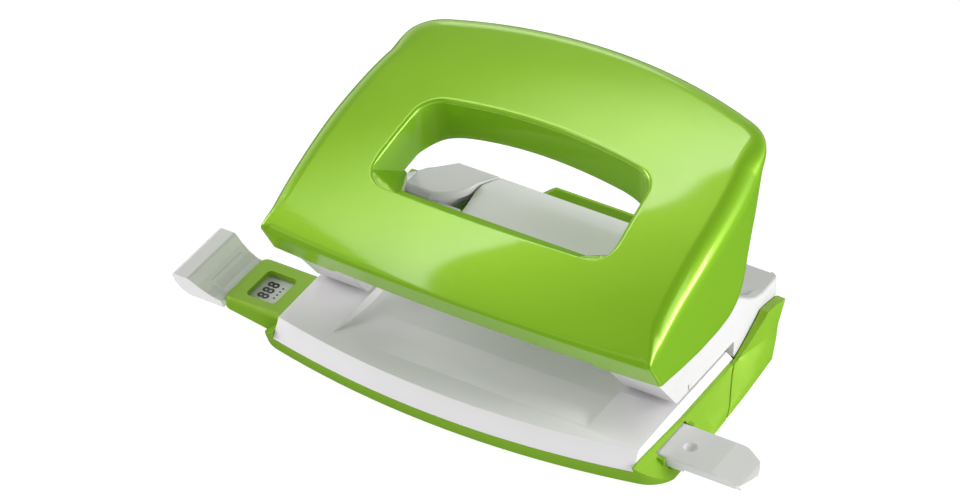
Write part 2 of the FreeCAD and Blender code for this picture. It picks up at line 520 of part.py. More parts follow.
# the front end leans out as it rises, like the front band of the base
stop = stop.cut(prism_x([(-40.0, -1.0), (-27.4, -1.0), (-29.05, 2.5), (-32.95, 10.8), (-37.0, 19.4), (-40.0, 19.4)], -90, -60))
# the bar itself ends inside the stop and stands a little proud of its foot
stop = stop.cut(box(BAR_X0, -60, BAR_Y0, BAR_Y1, 0, BAR_Z1))
add("paper_stop", solid_of(stop))

# ------------------------------------------------- leaf spring for the guide
leaf = box(22.0, 38.0, BAR_Y0 - 0.0, BAR_Y0 + 1.6, 1.35, 1.65)
hump = prism_y([(28.0, 1.65), (29.3, 2.15), (30.7, 2.15), (32.0, 1.65)], BAR_Y0 + 0.0, BAR_Y0 + 1.6)
seat = [box(20.5, 23.0, BAR_Y0 - 1.3, BAR_Y0 + 1.6, 1.65, 2.1), box(37.0, 39.5, BAR_Y0 - 1.3, BAR_Y0 + 1.6, 1.65, 2.1)]
leaf = fuse([leaf, hump])
add("bar_spring", leaf)


# ------------------------------------------------------------ handle shell
# side profile of the top surface at x = 0, front to rear (y, z)
TOPLINE = [(-47.0, 24.5), (-42.0, 31.2), (-37.0, 37.0), (-30.0, 43.0), (-22.0, 47.6), (-14.0, 51.0), (-5.4, 53.9),
           (2.0, 55.9), (9.0, 57.6), (15.0, 59.0), (20.8, 60.2), (27.5, 61.3), (34.0, 62.0), (40.0, 62.4), (48.0, 62.6)]
CROWN = 2.0             # the top falls by this much from the middle to the sides


def top_sheet(drop):
    xs = [-64, -53, -42, -30, -15, 0, 15, 30, 42, 53, 64]
    grid = []
    for x in xs:
        row = []
        for y, z in TOPLINE:
            row.append(V(x, y, z - CROWN * (x / 53.0) ** 2 - drop))
        grid.append(row)
    s = Part.BSplineSurface()
    s.interpolate(grid)
    return s.toShape()


def handle_form(inset):
    """Solid under the top sheet, inside the plan outline and above the lower edge."""
    face = top_sheet(inset * 1.12)
    under = face.extrude(V(0, 0, -70))
    # plan outline: straight sides that draw in towards a bowed rear
    i = inset

    def p(x, y, z=10.0):
        return V(x, y, z)
    # front edge: a shallow arc whose wall leans out as it rises
    fr = -31.7 + i * 1.1
    lean = -5.3 / 8.7
    R = 703.0
    ya = fr + R - math.sqrt(R * R - (53.0 - i) ** 2)
    wall_dir = V(0, lean * 60.0, 60.0)
    e = [Part.Arc(p(-(53.0 - i), ya), p(0, fr), p(53.0 - i, ya)).toShape(),
         Part.LineSegment(p(53.0 - i, ya), p(53.0 - i, 90)).toShape(),
         Part.LineSegment(p(53.0 - i, 90), p(-(53.0 - i), 90)).toShape(),
         Part.LineSegment(p(-(53.0 - i), 90), p(-(53.0 - i), ya)).toShape()]
    f = Part.Face(Part.Wire(e))
    f.translate(V(0, lean * (10.0 - 27.1), 0))
    fprism = f.extrude(wall_dir)
    # low and high plan outlines: the side walls draw in as they rise towards the rear
    wires = []
    for zz, pts, c1, cm, ym in ((18.0, [(53.0, -6.0), (53.0, 6.0), (52.9, 16.0), (52.2, 23.5)], (44.0, 33.6), (49.6, 30.0), 40.6),
                                (66.0, [(53.0, -6.0), (52.1, 6.0), (50.6, 16.0), (48.9, 23.5)], (40.5, 33.6), (46.3, 30.0), 40.6)):
        pts = [(x - i, y) for x, y in pts]
        c0 = pts[-1]
        c1 = (c1[0] - i * 0.8, c1[1] - i * 0.6)
        cm = (cm[0] - i * 0.85, cm[1] - i * 0.6)
        spr = Part.BSplineCurve()
        spr.interpolate([p(53.0 - i, -60, zz), p(53.0 - i, -20, zz)] + [p(x, y, zz) for x, y in pts])
        spl = Part.BSplineCurve()
        spl.interpolate([p(-x, y, zz) for x, y in reversed(pts)] + [p(-(53.0 - i), -20, zz), p(-(53.0 - i), -60, zz)])
        rc = Part.Arc(p(c0[0], c0[1], zz), p(cm[0], cm[1], zz), p(c1[0], c1[1], zz)).toShape()
        lc = Part.Arc(p(-c1[0], c1[1], zz), p(-cm[0], cm[1], zz), p(-c0[0], c0[1], zz)).toShape()
        rear = Part.Arc(p(c1[0], c1[1], zz), p(0, ym - i, zz), p(-c1[0], c1[1], zz)).toShape()
        wires.append(Part.Wire([spr.toShape(), rc, rear, lc, spl.toShape(),
                                Part.LineSegment(p(-(53.0 - i), -60, zz), p(53.0 - i, -60, zz)).toShape()]))
    plan = Part.makeLoft(wires, True, True)
    s = under.common(fprism).common(plan)
    return s


LOW = [(-60.0, 27.1), (-29.9, 27.1), (-25.8, 26.7), (-20.8, 26.0), (-11.3, 25.2), (-1.6, 25.2), (3.2, 25.8),
       (5.6, 26.8), (7.9, 28.3), (9.4, 30.2), (10.9, 33.1), (12.0, 36.4), (14.6, 41.8), (17.6, 46.2),
       (20.6, 50.8), (23.4, 54.4), (27.0, 56.4), (34.0, 57.6), (60.0, 58.6)]


def tunnel(z0, z1, grow=0.0):
    """Rounded opening through the handle: narrower and bowed at the rear, nearly square at the front."""
    g = grow
    pl, pr = V(-33.2 - g, -14.5, z0), V(31.7 + g, -14.3, z0)
    ql, qr = V(-32.0 - g, 1.0, z0), V(30.8 + g, 1.0, z0)
    rl, rr = V(-26.2 - 0.17 * g, 7.4 + 0.985 * g, z0), V(25.0 + 0.17 * g, 7.5 + 0.985 * g, z0)
    fl, fr = V(-28.5, -19.9 - g, z0), V(27.0, -19.7 - g, z0)
    e = [Part.LineSegment(pl, ql).toShape(),
         Part.Arc(ql, V(-30.19 - 0.75 * g, 5.19 + 0.66 * g, z0), rl).toShape(),
         Part.Arc(rl, V(0, 9.6 + g, z0), rr).toShape(),
         Part.Arc(rr, V(29.04 + 0.75 * g, 5.26 + 0.66 * g, z0), qr).toShape(),
         Part.LineSegment(qr, pr).toShape(),
         Part.Arc(pr, V(30.5 + 0.75 * g, -18.0 - 0.66 * g, z0), fr).toShape(),
         Part.Arc(fr, V(0, -20.7 - g, z0), fl).toShape(),
         Part.Arc(fl, V(-32.0 - 0.75 * g, -18.2 - 0.66 * g, z0), pl).toShape()]
    return Part.Face(Part.Wire(e)).extrude(V(0, 0, z1 - z0))


def build_handle():
    o = handle_form(0.0)
    rim = [e for e in o.Edges if e.CenterOfMass.z > 40 and not along(e, "x")]
    o2 = None
    for r in (5.0, 4.0, 3.0):
        try:
            top = [e for e in o.Edges if (e.BoundBox.ZMin > 34.0 and e.BoundBox.YMax > -30.0)]
            cand = o.makeFillet(r, top)
            if cand.isValid() and cand.Volume > 0.8 * o.Volume:
                o2 = cand
                break
        except Exception as ex:
            print("rim radius", r, "not made:", ex)
    if o2 is None:
        o2 = o
    keep = prism_x(LOW + [(60.0, 90.0), (-60.0, 90.0)], -70, 70)
    shell = o2.common(keep).cut(handle_form(HWALL))
    # tunnel walls under the cut-out
    under = top_sheet(0.6).extrude(V(0, 0, -13.0))
    ring = tunnel(20, 80, 2.0).common(under)
    # the rear wall is shallower in the middle: its lower edge is an arch
    arch = Part.BSplineCurve()
    arch.interpolate([V(-36.0, 3.0, 36.0), V(-32.4, 3.0, 40.6), V(-29.0, 3.0, 43.6), (V(-25.0, 3.0, 45.6)), V(-18.0, 3.0, 47.0),
                      V(0, 3.0, 47.9), V(18.0, 3.0, 47.2), V(25.0, 3.0, 46.2), V(29.0, 3.0, 44.2), V(32.4, 3.0, 41.0), V(36.0, 3.0, 36.0)])
    foot = Part.LineSegment(V(36.0, 3.0, 36.0), V(-36.0, 3.0, 36.0)).toShape()
    ring = ring.cut(Part.Face(Part.Wire([arch.toShape(), foot])).extrude(V(0, 12.0, 0)))
    shell = shell.fuse(ring).cut(tunnel(10, 90))
    # finger ledge along the front of the opening, just under its rim
    rows = []
    for x in (-25.2, -12.6, 0.0, 12.6, 25.2):
        dz = -CROWN * (x / 53.0) ** 2
        pts = [V(x, y, z + dz) for y, z in ((-21.6, 47.35), (-16.6, 46.1), (-16.6, 43.8), (-18.6, 42.6), (-21.6, 41.8))]
        rows.append(Part.makePolygon(pts + [pts[0]]))
    shell = shell.fuse(Part.makeLoft(rows, True, False))
    # a sloping web closes each front corner of the opening, beside the ledge
    inside = handle_form(0.9)
    for sx in (-1, 1):
        off = 0.0 if sx < 0 else -1.3

        def w(x, y, dz=0.0):
            return V(sx * (-x + off), y, 48.9 - 0.423 * (x + 33.0) - 0.619 * (y + 16.8) + dz)
        corners = [(-34.4, -21.6), (-34.4, -2.2), (-32.1, -2.4), (-24.8, -17.0), (-24.8, -21.6)]
        pts = [w(x, y) for x, y in corners]
        web = Part.Face(Part.makePolygon(pts + [pts[0]])).extrude(V(0, 0, -2.8))
        shell = shell.fuse(web.common(inside))
    # bearing bosses for the axle, inside both side walls
    for sx in (-1, 1):
        x0, x1 = (50.0, 51.5) if sx > 0 else (-51.5, -50.0)
        shell = shell.fuse(cyl_x(x0, x1, AXLE_Y, AXLE_Z, 3.2))
        # posts that take the screws of the press bracket
        for y in (-9.0, 7.0):
            post = cyl_z(sx * 41.6, y, 37.8, 66.0, 2.6).common(top_sheet(1.0).extrude(V(0, 0, -60)))
            shell = shell.fuse(post).cut(cyl_z(sx * 41.6, y, 36.0, 44.0, 1.2))
    for sx in (-1, 1):
        x0, x1 = (49.0, 51.75) if sx > 0 else (-51.75, -49.0)
        shell = shell.cut(cyl_x(x0, x1, AXLE_Y, AXLE_Z, AXLE_BORE))
    # front lower edge is a little higher between the feet
    shell = shell.cut(box(-35.0, 35.0, -45.0, -26.0, 20.0, 28.2))
    return shell.removeSplitter()


handle = solid_of(build_handle())
add("handle_shell", handle)


# ----------------------------------------------------------- press brackets
def bracket():
    arm = prism_x([(-24.0, 27.2), (-22.0, 25.2), (-18.4, 25.2), (-8.0, 32.2), (5.0, 34.4), (10.0, 36.2),
                   (10.0, 37.8), (-13.5, 37.8), (-20.0, 33.2), (-23.6, 31.6)], 44.9, 46.5)
    web = box(36.9, 46.5, -12.6, 10.0, 36.3, 37.8)
    nose = cyl_x(37.3, 46.2, 0, NOSE_Z + NOSE_R, NOSE_R)
    nose = nose.common(box(30, 50, -5, 5, 30, 37.0))
    b = fuse([arm, web, nose])
    b = b.cut(cyl_x(40, 50, AXLE_Y, AXLE_Z, AXLE_BORE))
    return cut(b, [cyl_z(41.6, y, 30, 40, 1.5) for y in (-9.0, 7.0)])


br = solid_of(bracket())
add("press_bracket_right", br)
add("press_bracket_left", mirror_x(br))
bs = []
for sx in (-1, 1):
    for y in (-9.0, 7.0):
        s = cyl_z(sx * 41.6, y, 34.7, 36.3, 2.4).fuse(cyl_z(sx * 41.6, y, 36.2, 43.0, 1.2)).removeSplitter()
        s = s.cut(box(sx * 41.6 - 1.8, sx * 41.6 + 1.8, y - 0.3, y + 0.3, 34, 35.4))
        s = s.cut(box(sx * 41.6 - 0.3, sx * 41.6 + 0.3, y - 1.8, y + 1.8, 34, 35.4))
        bs.append(s)
add("bracket_screws", Part.makeCompound(bs))

# ------------------------------------------------------------------- export
for name in sorted(NODES):
    s = NODES[name]
    s.exportStep("parts/%s.step" % name)
    b = s.BoundBox
    print("%-22s solids %d valid %s vol %9.1f  x %7.2f %7.2f  y %7.2f %7.2f  z %6.2f %6.2f" % (
        name, len(s.Solids), s.isValid(), s.Volume, b.XMin, b.XMax, b.YMin, b.YMax, b.ZMin, b.ZMax))
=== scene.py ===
import bpy, bmesh, json, math, random
import numpy as np
from mathutils import Vector, Matrix


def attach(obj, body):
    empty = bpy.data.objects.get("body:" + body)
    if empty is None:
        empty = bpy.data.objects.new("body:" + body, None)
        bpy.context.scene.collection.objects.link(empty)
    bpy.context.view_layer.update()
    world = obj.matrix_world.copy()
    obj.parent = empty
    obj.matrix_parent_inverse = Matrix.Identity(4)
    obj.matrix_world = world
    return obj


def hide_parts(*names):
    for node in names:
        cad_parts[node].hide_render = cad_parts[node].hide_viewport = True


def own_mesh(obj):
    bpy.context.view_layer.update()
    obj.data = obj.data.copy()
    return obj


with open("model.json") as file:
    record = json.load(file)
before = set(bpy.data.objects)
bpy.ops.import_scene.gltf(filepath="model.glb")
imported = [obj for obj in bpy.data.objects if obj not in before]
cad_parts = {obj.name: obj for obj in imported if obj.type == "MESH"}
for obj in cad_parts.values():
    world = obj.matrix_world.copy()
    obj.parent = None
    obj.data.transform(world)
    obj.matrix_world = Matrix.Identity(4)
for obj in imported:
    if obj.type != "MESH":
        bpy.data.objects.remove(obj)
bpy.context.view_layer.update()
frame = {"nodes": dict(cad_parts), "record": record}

random.seed(7)
MM = 0.001
scene = bpy.context.scene
NODES = frame["nodes"]
BODY_OF = {n: b for b, names in frame["record"]["behaviour"]["bodies"].items() for n in names}


# =============================================================== materials
def new_mat(name):
    m = bpy.data.materials.new(name)
    m.use_nodes = True
    nt = m.node_tree
    for n in list(nt.nodes):
        nt.nodes.remove(n)
    out = nt.nodes.new("ShaderNodeOutputMaterial")
    bsdf = nt.nodes.new("ShaderNodeBsdfPrincipled")
    nt.links.new(bsdf.outputs[0], out.inputs[0])
    return m, nt, bsdf


def tex_noise(nt, scale, detail=3.0, rough=0.5, stretch=None):
    tc = nt.nodes.new("ShaderNodeTexCoord")
    n = nt.nodes.new("ShaderNodeTexNoise")
    n.inputs["Scale"].default_value = scale
    n.inputs["Detail"].default_value = detail
    n.inputs["Roughness"].default_value = rough
    if stretch:
        mp = nt.nodes.new("ShaderNodeMapping")
        mp.inputs["Scale"].default_value = stretch
        nt.links.new(tc.outputs["Object"], mp.inputs[0])
        nt.links.new(mp.outputs[0], n.inputs["Vector"])
    else:
        nt.links.new(tc.outputs["Object"], n.inputs["Vector"])
    return n


def ramp(nt, src, stops):
    r = nt.nodes.new("ShaderNodeValToRGB")
    el = r.color_ramp.elements
    el[0].position, el[0].color = stops[0][0], tuple(stops[0][1]) + (1.0,)
    el[1].position, el[1].color = stops[-1][0], tuple(stops[-1][1]) + (1.0,)
    for p, c in stops[1:-1]:
        e = el.new(p)
        e.color = tuple(c) + (1.0,)
    nt.links.new(src, r.inputs[0])
    return r.outputs[0]


def span(nt, src, lo, hi, a=0.3, b=0.7):
    m = nt.nodes.new("ShaderNodeMapRange")
    m.inputs["From Min"].default_value = a
    m.inputs["From Max"].default_value = b
    m.inputs["To Min"].default_value = lo
    m.inputs["To Max"].default_value = hi
    nt.links.new(src, m.inputs[0])
    return m.outputs[0]


def bump(nt, bsdf, src, strength, dist):
    b = nt.nodes.new("ShaderNodeBump")
    b.inputs["Strength"].default_value = strength
    b.inputs["Distance"].default_value = dist
    nt.links.new(src, b.inputs["Height"])
    nt.links.new(b.outputs[0], bsdf.inputs["Normal"])
    return b


def plastic(name, col, rough, metallic=0.0, coat=0.0, coat_rough=0.05, grain=900.0, grain_h=2.0e-6,
            grain_s=0.25, vary=0.05, rough_vary=0.05, spec=0.5, sss=0.0, tint=(1.0, 1.0, 1.0)):
    """Moulded plastic: slight flow marks in the colour, fine skin grain and uneven gloss."""
    m, nt, b = new_mat(name)
    flow = tex_noise(nt, 26.0, 4.0, 0.55, (1.0, 1.0, 2.2))
    lo = tuple(c * (1.0 - vary) for c in col)
    hi = tuple(min(c * (1.0 + vary), 1.0) for c in col)
    nt.links.new(ramp(nt, flow.outputs[0], [(0.30, lo), (0.55, col), (0.75, hi)]), b.inputs["Base Color"])
    wear = tex_noise(nt, 70.0, 5.0, 0.6)
    nt.links.new(span(nt, wear.outputs[0], max(rough - rough_vary, 0.02), rough + rough_vary), b.inputs["Roughness"])
    b.inputs["Metallic"].default_value = metallic
    b.inputs["Specular IOR Level"].default_value = spec
    b.inputs["Specular Tint"].default_value = tint + (1.0,)
    b.inputs["Coat Weight"].default_value = coat
    b.inputs["Coat Roughness"].default_value = coat_rough
    b.inputs["Coat IOR"].default_value = 1.52
    if sss:
        b.inputs["Subsurface Weight"].default_value = sss
        b.inputs["Subsurface Radius"].default_value = (0.8, 1.0, 0.35)
        b.inputs["Subsurface Scale"].default_value = 0.0012
    fine = tex_noise(nt, grain, 2.0, 0.5)
    bump(nt, b, fine.outputs[0], grain_s, grain_h)
    return m


def metal(name, col, rough, brush=(1.0, 1.0, 40.0), scale=180.0, rough_vary=0.08, h=4.0e-6):
    """Worked steel or brass: drawn lines, uneven polish."""
    m, nt, b = new_mat(name)
    lines = tex_noise(nt, scale, 4.0, 0.6, brush)
    cloud = tex_noise(nt, 120.0, 4.0, 0.6)
    lo = tuple(c * 0.80 for c in col)
    nt.links.new(ramp(nt, cloud.outputs[0], [(0.30, lo), (0.60, col)]), b.inputs["Base Color"])
    nt.links.new(span(nt, lines.outputs[0], max(rough - rough_vary, 0.03), rough + rough_vary), b.inputs["Roughness"])
    b.inputs["Metallic"].default_value = 1.0
    bump(nt, b, lines.outputs[0], 0.35, h)
    return m


LIME = (0.224, 0.512, 0.0135)
MATS = {
    "handle_green": plastic("lacquer_lime", LIME, 0.33, metallic=0.20, coat=0.50, coat_rough=0.06, grain=2600.0,
                            grain_h=1.2e-6, grain_s=0.10, vary=0.015, rough_vary=0.02, spec=0.60, tint=(1.0, 0.80, 0.20)),
    "base_green": plastic("moulded_lime", (0.228, 0.475, 0.021), 0.42, metallic=0.12, coat=0.18, coat_rough=0.22, grain=1500.0,
                          grain_h=3.0e-6, grain_s=0.20, vary=0.03, rough_vary=0.05, tint=(1.0, 0.72, 0.22)),
    # The slight magenta tint of this white is painted light: it cancels the green light that the handle bounces onto
    # the white parts.
    "body_white": plastic("moulded_white", (0.900, 0.878, 0.903), 0.40, coat=0.08, coat_rough=0.25, grain=1700.0,
                          grain_h=3.0e-6, grain_s=0.22, vary=0.02, rough_vary=0.06, sss=0.08),
    "guide_white": plastic("guide_white", (0.74, 0.735, 0.74), 0.34, coat=0.12, coat_rough=0.2, grain=1500.0,
                           grain_h=2.5e-6, grain_s=0.20, vary=0.02, rough_vary=0.05, sss=0.10),
    "label_white": plastic("label_white", (0.78, 0.78, 0.76), 0.55, grain=2500.0, grain_h=3.0e-6, vary=0.03),
    "steel_plate": metal("steel_plate", (0.60, 0.60, 0.61), 0.30, (2.0, 30.0, 2.0)),
    "hard_steel": metal("hard_steel", (0.50, 0.50, 0.51), 0.22, (1.0, 1.0, 60.0)),
    "spring_steel": metal("spring_steel", (0.46, 0.46, 0.48), 0.25, (6.0, 6.0, 6.0)),
    "screw_steel": metal("screw_steel", (0.52, 0.52, 0.53), 0.28, (8.0, 8.0, 2.0)),
    "brass_bush": metal("brass_bush", (0.72, 0.53, 0.24), 0.28, (1.0, 1.0, 40.0)),
}
INK = plastic("print_black", (0.012, 0.012, 0.013), 0.45, grain=3000.0, grain_h=1.5e-6, vary=0.2)

SLOT_OF = {}
for part in frame["record"].get("subparts", frame["record"].get("nodes", [])) or []:
    if isinstance(part, dict):
        SLOT_OF[part.get("node") or part.get("name")] = part.get("material_slot") or part.get("slot") or part.get("material")


def slot_of(node):
    """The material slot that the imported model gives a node."""
    mats = [s.material.name for s in NODES[node].material_slots if s.material]
    for name in mats:
        for key in MATS:
            if name == key or name.startswith(key + "."):
                return key
    return SLOT_OF.get(node)


PAINT = {n: slot_of(n) for n in NODES}
for n, key in PAINT.items():
    ob = NODES[n]
    if not ob.material_slots:
        ob.data.materials.append(MATS[key])
    for s in ob.material_slots:
        s.material = MATS[key]


# ================================================================= helpers
def link(name, me):
    ob = bpy.data.objects.new(name, me)
    scene.collection.objects.link(ob)
    return ob


def dress(ob, key, body, *stands_for):
    """Give a new piece its finish and the body that carries it, and hide the CAD nodes that it stands for."""
    ob.data.materials.clear()
    ob.data.materials.append(MATS[key])
    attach(ob, body)
    if stands_for:
        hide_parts(*stands_for)
    return ob


def mesh_of(name, verts, faces, smooth=True):
    me = bpy.data.meshes.new(name)
    me.from_pydata([tuple(v) for v in verts], [], faces)
    me.validate()
    me.update()
    bm = bmesh.new()
    bm.from_mesh(me)
    bmesh.ops.recalc_face_normals(bm, faces=bm.faces)
    bm.to_mesh(me)
    bm.free()
    if smooth:
        me.polygons.foreach_set("use_smooth", [True] * len(me.polygons))
    return me


def soften(node, width, key=None, seg=3, angle=30.0, sharp=38.0, clamp=False):
    """A copy of a CAD node's form with its edges broken, as a moulded or machined piece has them."""
    src = NODES[node]
    me = src.data.copy()
    me.name = "soft_" + node
    bm = bmesh.new()
    bm.from_mesh(me)
    bmesh.ops.remove_doubles(bm, verts=bm.verts, dist=2e-6)
    bmesh.ops.dissolve_limit(bm, angle_limit=math.radians(0.25), verts=bm.verts, edges=bm.edges)
    bmesh.ops.dissolve_degenerate(bm, dist=1e-6, edges=bm.edges)
    bm.to_mesh(me)
    bm.free()
    ob = link("soft_" + node, me)
    mod = ob.modifiers.new("edges", "BEVEL")
    mod.width = width * MM
    mod.segments = seg
    mod.limit_method = "ANGLE"
    mod.angle_limit = math.radians(angle)
    mod.use_clamp_overlap = clamp
    mod.harden_normals = True
    mod.loop_slide = True
    bpy.context.view_layer.update()
    dg = bpy.context.evaluated_depsgraph_get()
    out = bpy.data.meshes.new_from_object(ob.evaluated_get(dg), preserve_all_data_layers=True, depsgraph=dg)
    out.name = "soft_" + node
    ob.modifiers.clear()
    ob.data = out
    return dress(ob, key or PAINT[node], BODY_OF[node], node)


def lathe(name, profile, centre, axis="Z", n=48):
    """Closed turned piece: (radius, height) points in mm about an axis through the centre."""
    verts, faces = [], []
    rows = []
    for r, h in profile:
        if r < 1e-6:
            rows.append([len(verts)])
            verts.append((0.0, 0.0, h))
        else:
            rows.append(list(range(len(verts), len(verts) + n)))
            for k in range(n):
                a = 2 * math.pi * k / n
                verts.append((r * math.cos(a), r * math.sin(a), h))
    for a, b in zip(rows, rows[1:]):
        for k in range(n):
            k2 = (k + 1) % n
            if len(a) == 1 and len(b) == 1:
                continue
            if len(a) == 1:
                faces.append((a[0], b[k], b[k2]))
            elif len(b) == 1:
                faces.append((a[k], a[k2], b[0]))
            else:
                faces.append((a[k], a[k2], b[k2], b[k]))
    if axis == "X":
        verts = [(z, x, y) for x, y, z in verts]
    c = centre
    verts = [((x + c[0]) * MM, (y + c[1]) * MM, (z + c[2]) * MM) for x, y, z in verts]
    me = mesh_of(name, verts, faces)
    me.set_sharp_from_angle(angle=math.radians(40))
    return link(name, me)


def smooth01(t):
    t = np.clip(t, 0.0, 1.0)
    return t * t * (3.0 - 2.0 * t)


def natural(xs, ys):
    """Natural cubic spline through the points, as a function."""
    x, y = np.array(xs, float), np.array(ys, float)
    n = len(x)
    h = np.diff(x)
    A = np.zeros((n, n))
    r = np.zeros(n)
    A[0, 0] = A[-1, -1] = 1.0
    for i in range(1, n - 1):
        A[i, i - 1], A[i, i], A[i, i + 1] = h[i - 1], 2 * (h[i - 1] + h[i]), h[i]
        r[i] = 6 * ((y[i + 1] - y[i]) / h[i] - (y[i] - y[i - 1]) / h[i - 1])
    m = np.linalg.solve(A, r)

    def f(q):
        q = np.asarray(q, float)
        i = np.clip(np.searchsorted(x, q) - 1, 0, n - 2)
        hh = x[i + 1] - x[i]
        a, b = (x[i + 1] - q) / hh, (q - x[i]) / hh
        return a * y[i] + b * y[i + 1] + ((a ** 3 - a) * m[i] + (b ** 3 - b) * m[i + 1]) * hh * hh / 6
    return f


def arc3(p0, p1, p2, n):
    """n points along the circle through three plan points."""
    (ax, ay), (bx, by), (cx, cy) = p0, p1, p2
    d = 2 * (ax * (by - cy) + bx * (cy - ay) + cx * (ay - by))
    ux = ((ax * ax + ay * ay) * (by - cy) + (bx * bx + by * by) * (cy - ay) + (cx * cx + cy * cy) * (ay - by)) / d
    uy = ((ax * ax + ay * ay) * (cx - bx) + (bx * bx + by * by) * (ax - cx) + (cx * cx + cy * cy) * (bx - ax)) / d
    r = math.hypot(ax - ux, ay - uy)
    a0, a1, a2 = (math.atan2(q[1] - uy, q[0] - ux) for q in (p0, p1, p2))
    s1, s2 = (a1 - a0) % (2 * math.pi), (a2 - a0) % (2 * math.pi)
    if s1 > s2:
        s2 -= 2 * math.pi
    return [(ux + r * math.cos(a0 + s2 * k / (n - 1)), uy + r * math.sin(a0 + s2 * k / (n - 1))) for k in range(n)]


# ================================================================== handle
# The same driving sizes as the CAD handle, in mm.
TOPLINE = [(-47.0, 24.5), (-42.0, 31.2), (-37.0, 37.0), (-30.0, 43.0), (-22.0, 47.6), (-14.0, 51.0), (-5.4, 53.9),
           (2.0, 55.9), (9.0, 57.6), (15.0, 59.0), (20.8, 60.2), (27.5, 61.3), (34.0, 62.0), (40.0, 62.4), (48.0, 62.6)]
LOW = [(-60.0, 27.1), (-29.9, 27.1), (-25.8, 26.7), (-20.8, 26.0), (-11.3, 25.2), (-1.6, 25.2), (3.2, 25.8),
       (5.6, 26.8), (7.9, 28.3), (9.4, 30.2), (10.9, 33.1), (12.0, 36.4), (14.6, 41.8), (17.6, 46.2),
       (20.6, 50.8), (23.4, 54.4), (27.0, 56.4), (34.0, 57.6), (60.0, 58.6)]
HWALL = 2.4
CY0 = -4.0                       # plan centre of the rings
top_line = natural([p[0] for p in TOPLINE], [p[1] for p in TOPLINE])


def z_top(x, y):
    return top_line(y) - 2.0 * (x / 53.0) ** 2


def low_line(y):
    """Lower edge of the handle, with its corners eased a little."""
    ys, zs = [p[0] for p in LOW], [p[1] for p in LOW]
    q = np.asarray(y, float)
    acc = 0.0
    for s, w in ((-1.0, 0.15), (-0.5, 0.2), (0.0, 0.3), (0.5, 0.2), (1.0, 0.15)):
        acc = acc + w * np.interp(q + s * 0.9, ys, zs)
    return acc


def plan_right(high):
    """Right half of the plan outline from the front to the middle of the rear."""
    if high:
        side, c1, cm, ym = [(53.0, -6.0), (52.1, 6.0), (50.6, 16.0), (48.9, 23.5)], (40.5, 33.6), (46.3, 30.0), 40.6
    else:
        side, c1, cm, ym = [(53.0, -6.0), (53.0, 6.0), (52.9, 16.0), (52.2, 23.5)], (44.0, 33.6), (49.6, 30.0), 40.6
    f = natural([-60.0, -20.0] + [p[1] for p in side], [53.0, 53.0] + [p[0] for p in side])
    pts = [(float(f(y)), y) for y in np.linspace(-60.0, 23.5, 120)]
    pts += arc3(side[-1], cm, c1, 40)[1:]
    rear = arc3(c1, (0.0, ym), (-c1[0], c1[1]), 161)
    pts += rear[1:81]
    return np.array(pts)


def eased(poly, passes):
    """Smooth the joints between the arcs of an outline without moving it much."""
    p = poly.copy()
    for _ in range(passes):
        p[1:-1] = 0.25 * p[:-2] + 0.5 * p[1:-1] + 0.25 * p[2:]
    return p


def resample(poly, n):
    d = np.concatenate([[0], np.cumsum(np.hypot(*np.diff(poly, axis=0).T))])
    s = np.linspace(0, d[-1], n)
    return np.stack([np.interp(s, d, poly[:, 0]), np.interp(s, d, poly[:, 1])], 1)


def shrink(poly, d):
    """Open polyline moved to its left-hand side (inward) by d."""
    t = np.gradient(poly, axis=0)
    t /= np.linalg.norm(t, axis=1)[:, None]
    nrm = np.stack([-t[:, 1], t[:, 0]], 1)
    return poly + nrm * d


def outline_radius(theta, z, inset):
    """Distance from the ring centre to the handle's wall, at each angle and height."""
    key = round(inset, 3)
    if key not in outline_radius.tab:
        tabs = []
        for high in (False, True):
            half = resample(plan_right(high), 500)
            half = eased(half, 10)
            full = np.concatenate([half, (half * [-1, 1])[::-1][1:]])
            full = shrink(full, inset) if inset else full
            ang = np.arctan2(full[:, 1] - CY0, full[:, 0])
            rad = np.hypot(full[:, 1] - CY0, full[:, 0])
            ang = np.unwrap(ang)
            tabs.append((ang, rad))
        outline_radius.tab[key] = tabs
    low, high = outline_radius.tab[key]
    th = (theta + math.pi / 2) % (2 * math.pi) - math.pi / 2     # -90..270 degrees
    rl = np.interp(th, low[0], low[1])
    rh = np.interp(th, high[0], high[1])
    t = (z - 18.0) / 48.0
    side = rl + (rh - rl) * t
    # front wall: a shallow arc leaning out as it rises
    ux, uy = np.cos(theta), np.sin(theta)
    lean = -5.3 / 8.7
    R = 703.0 - inset
    yc = -31.7 + 703.0 + lean * (z - 27.1) + 0.0
    # |O + s u - C| = R with O = (0, CY0), C = (0, yc)
    b = uy * (CY0 - yc)
    c = (CY0 - yc) ** 2 - R * R
    disc = np.sqrt(np.maximum(b * b - c, 0.0))
    front = np.where(uy < -0.05, -b - disc, 1e3)
    front = np.where(front > 0, front, -b + disc)
    front = np.where(uy < -0.05, front, 1e3)
    k = max(1.1 - 0.3 * inset, 0.3)
    h = np.clip(0.5 + 0.5 * (side - front) / k, 0.0, 1.0)
    return side * (1 - h) + front * h - k * h * (1 - h)


outline_radius.tab = {}


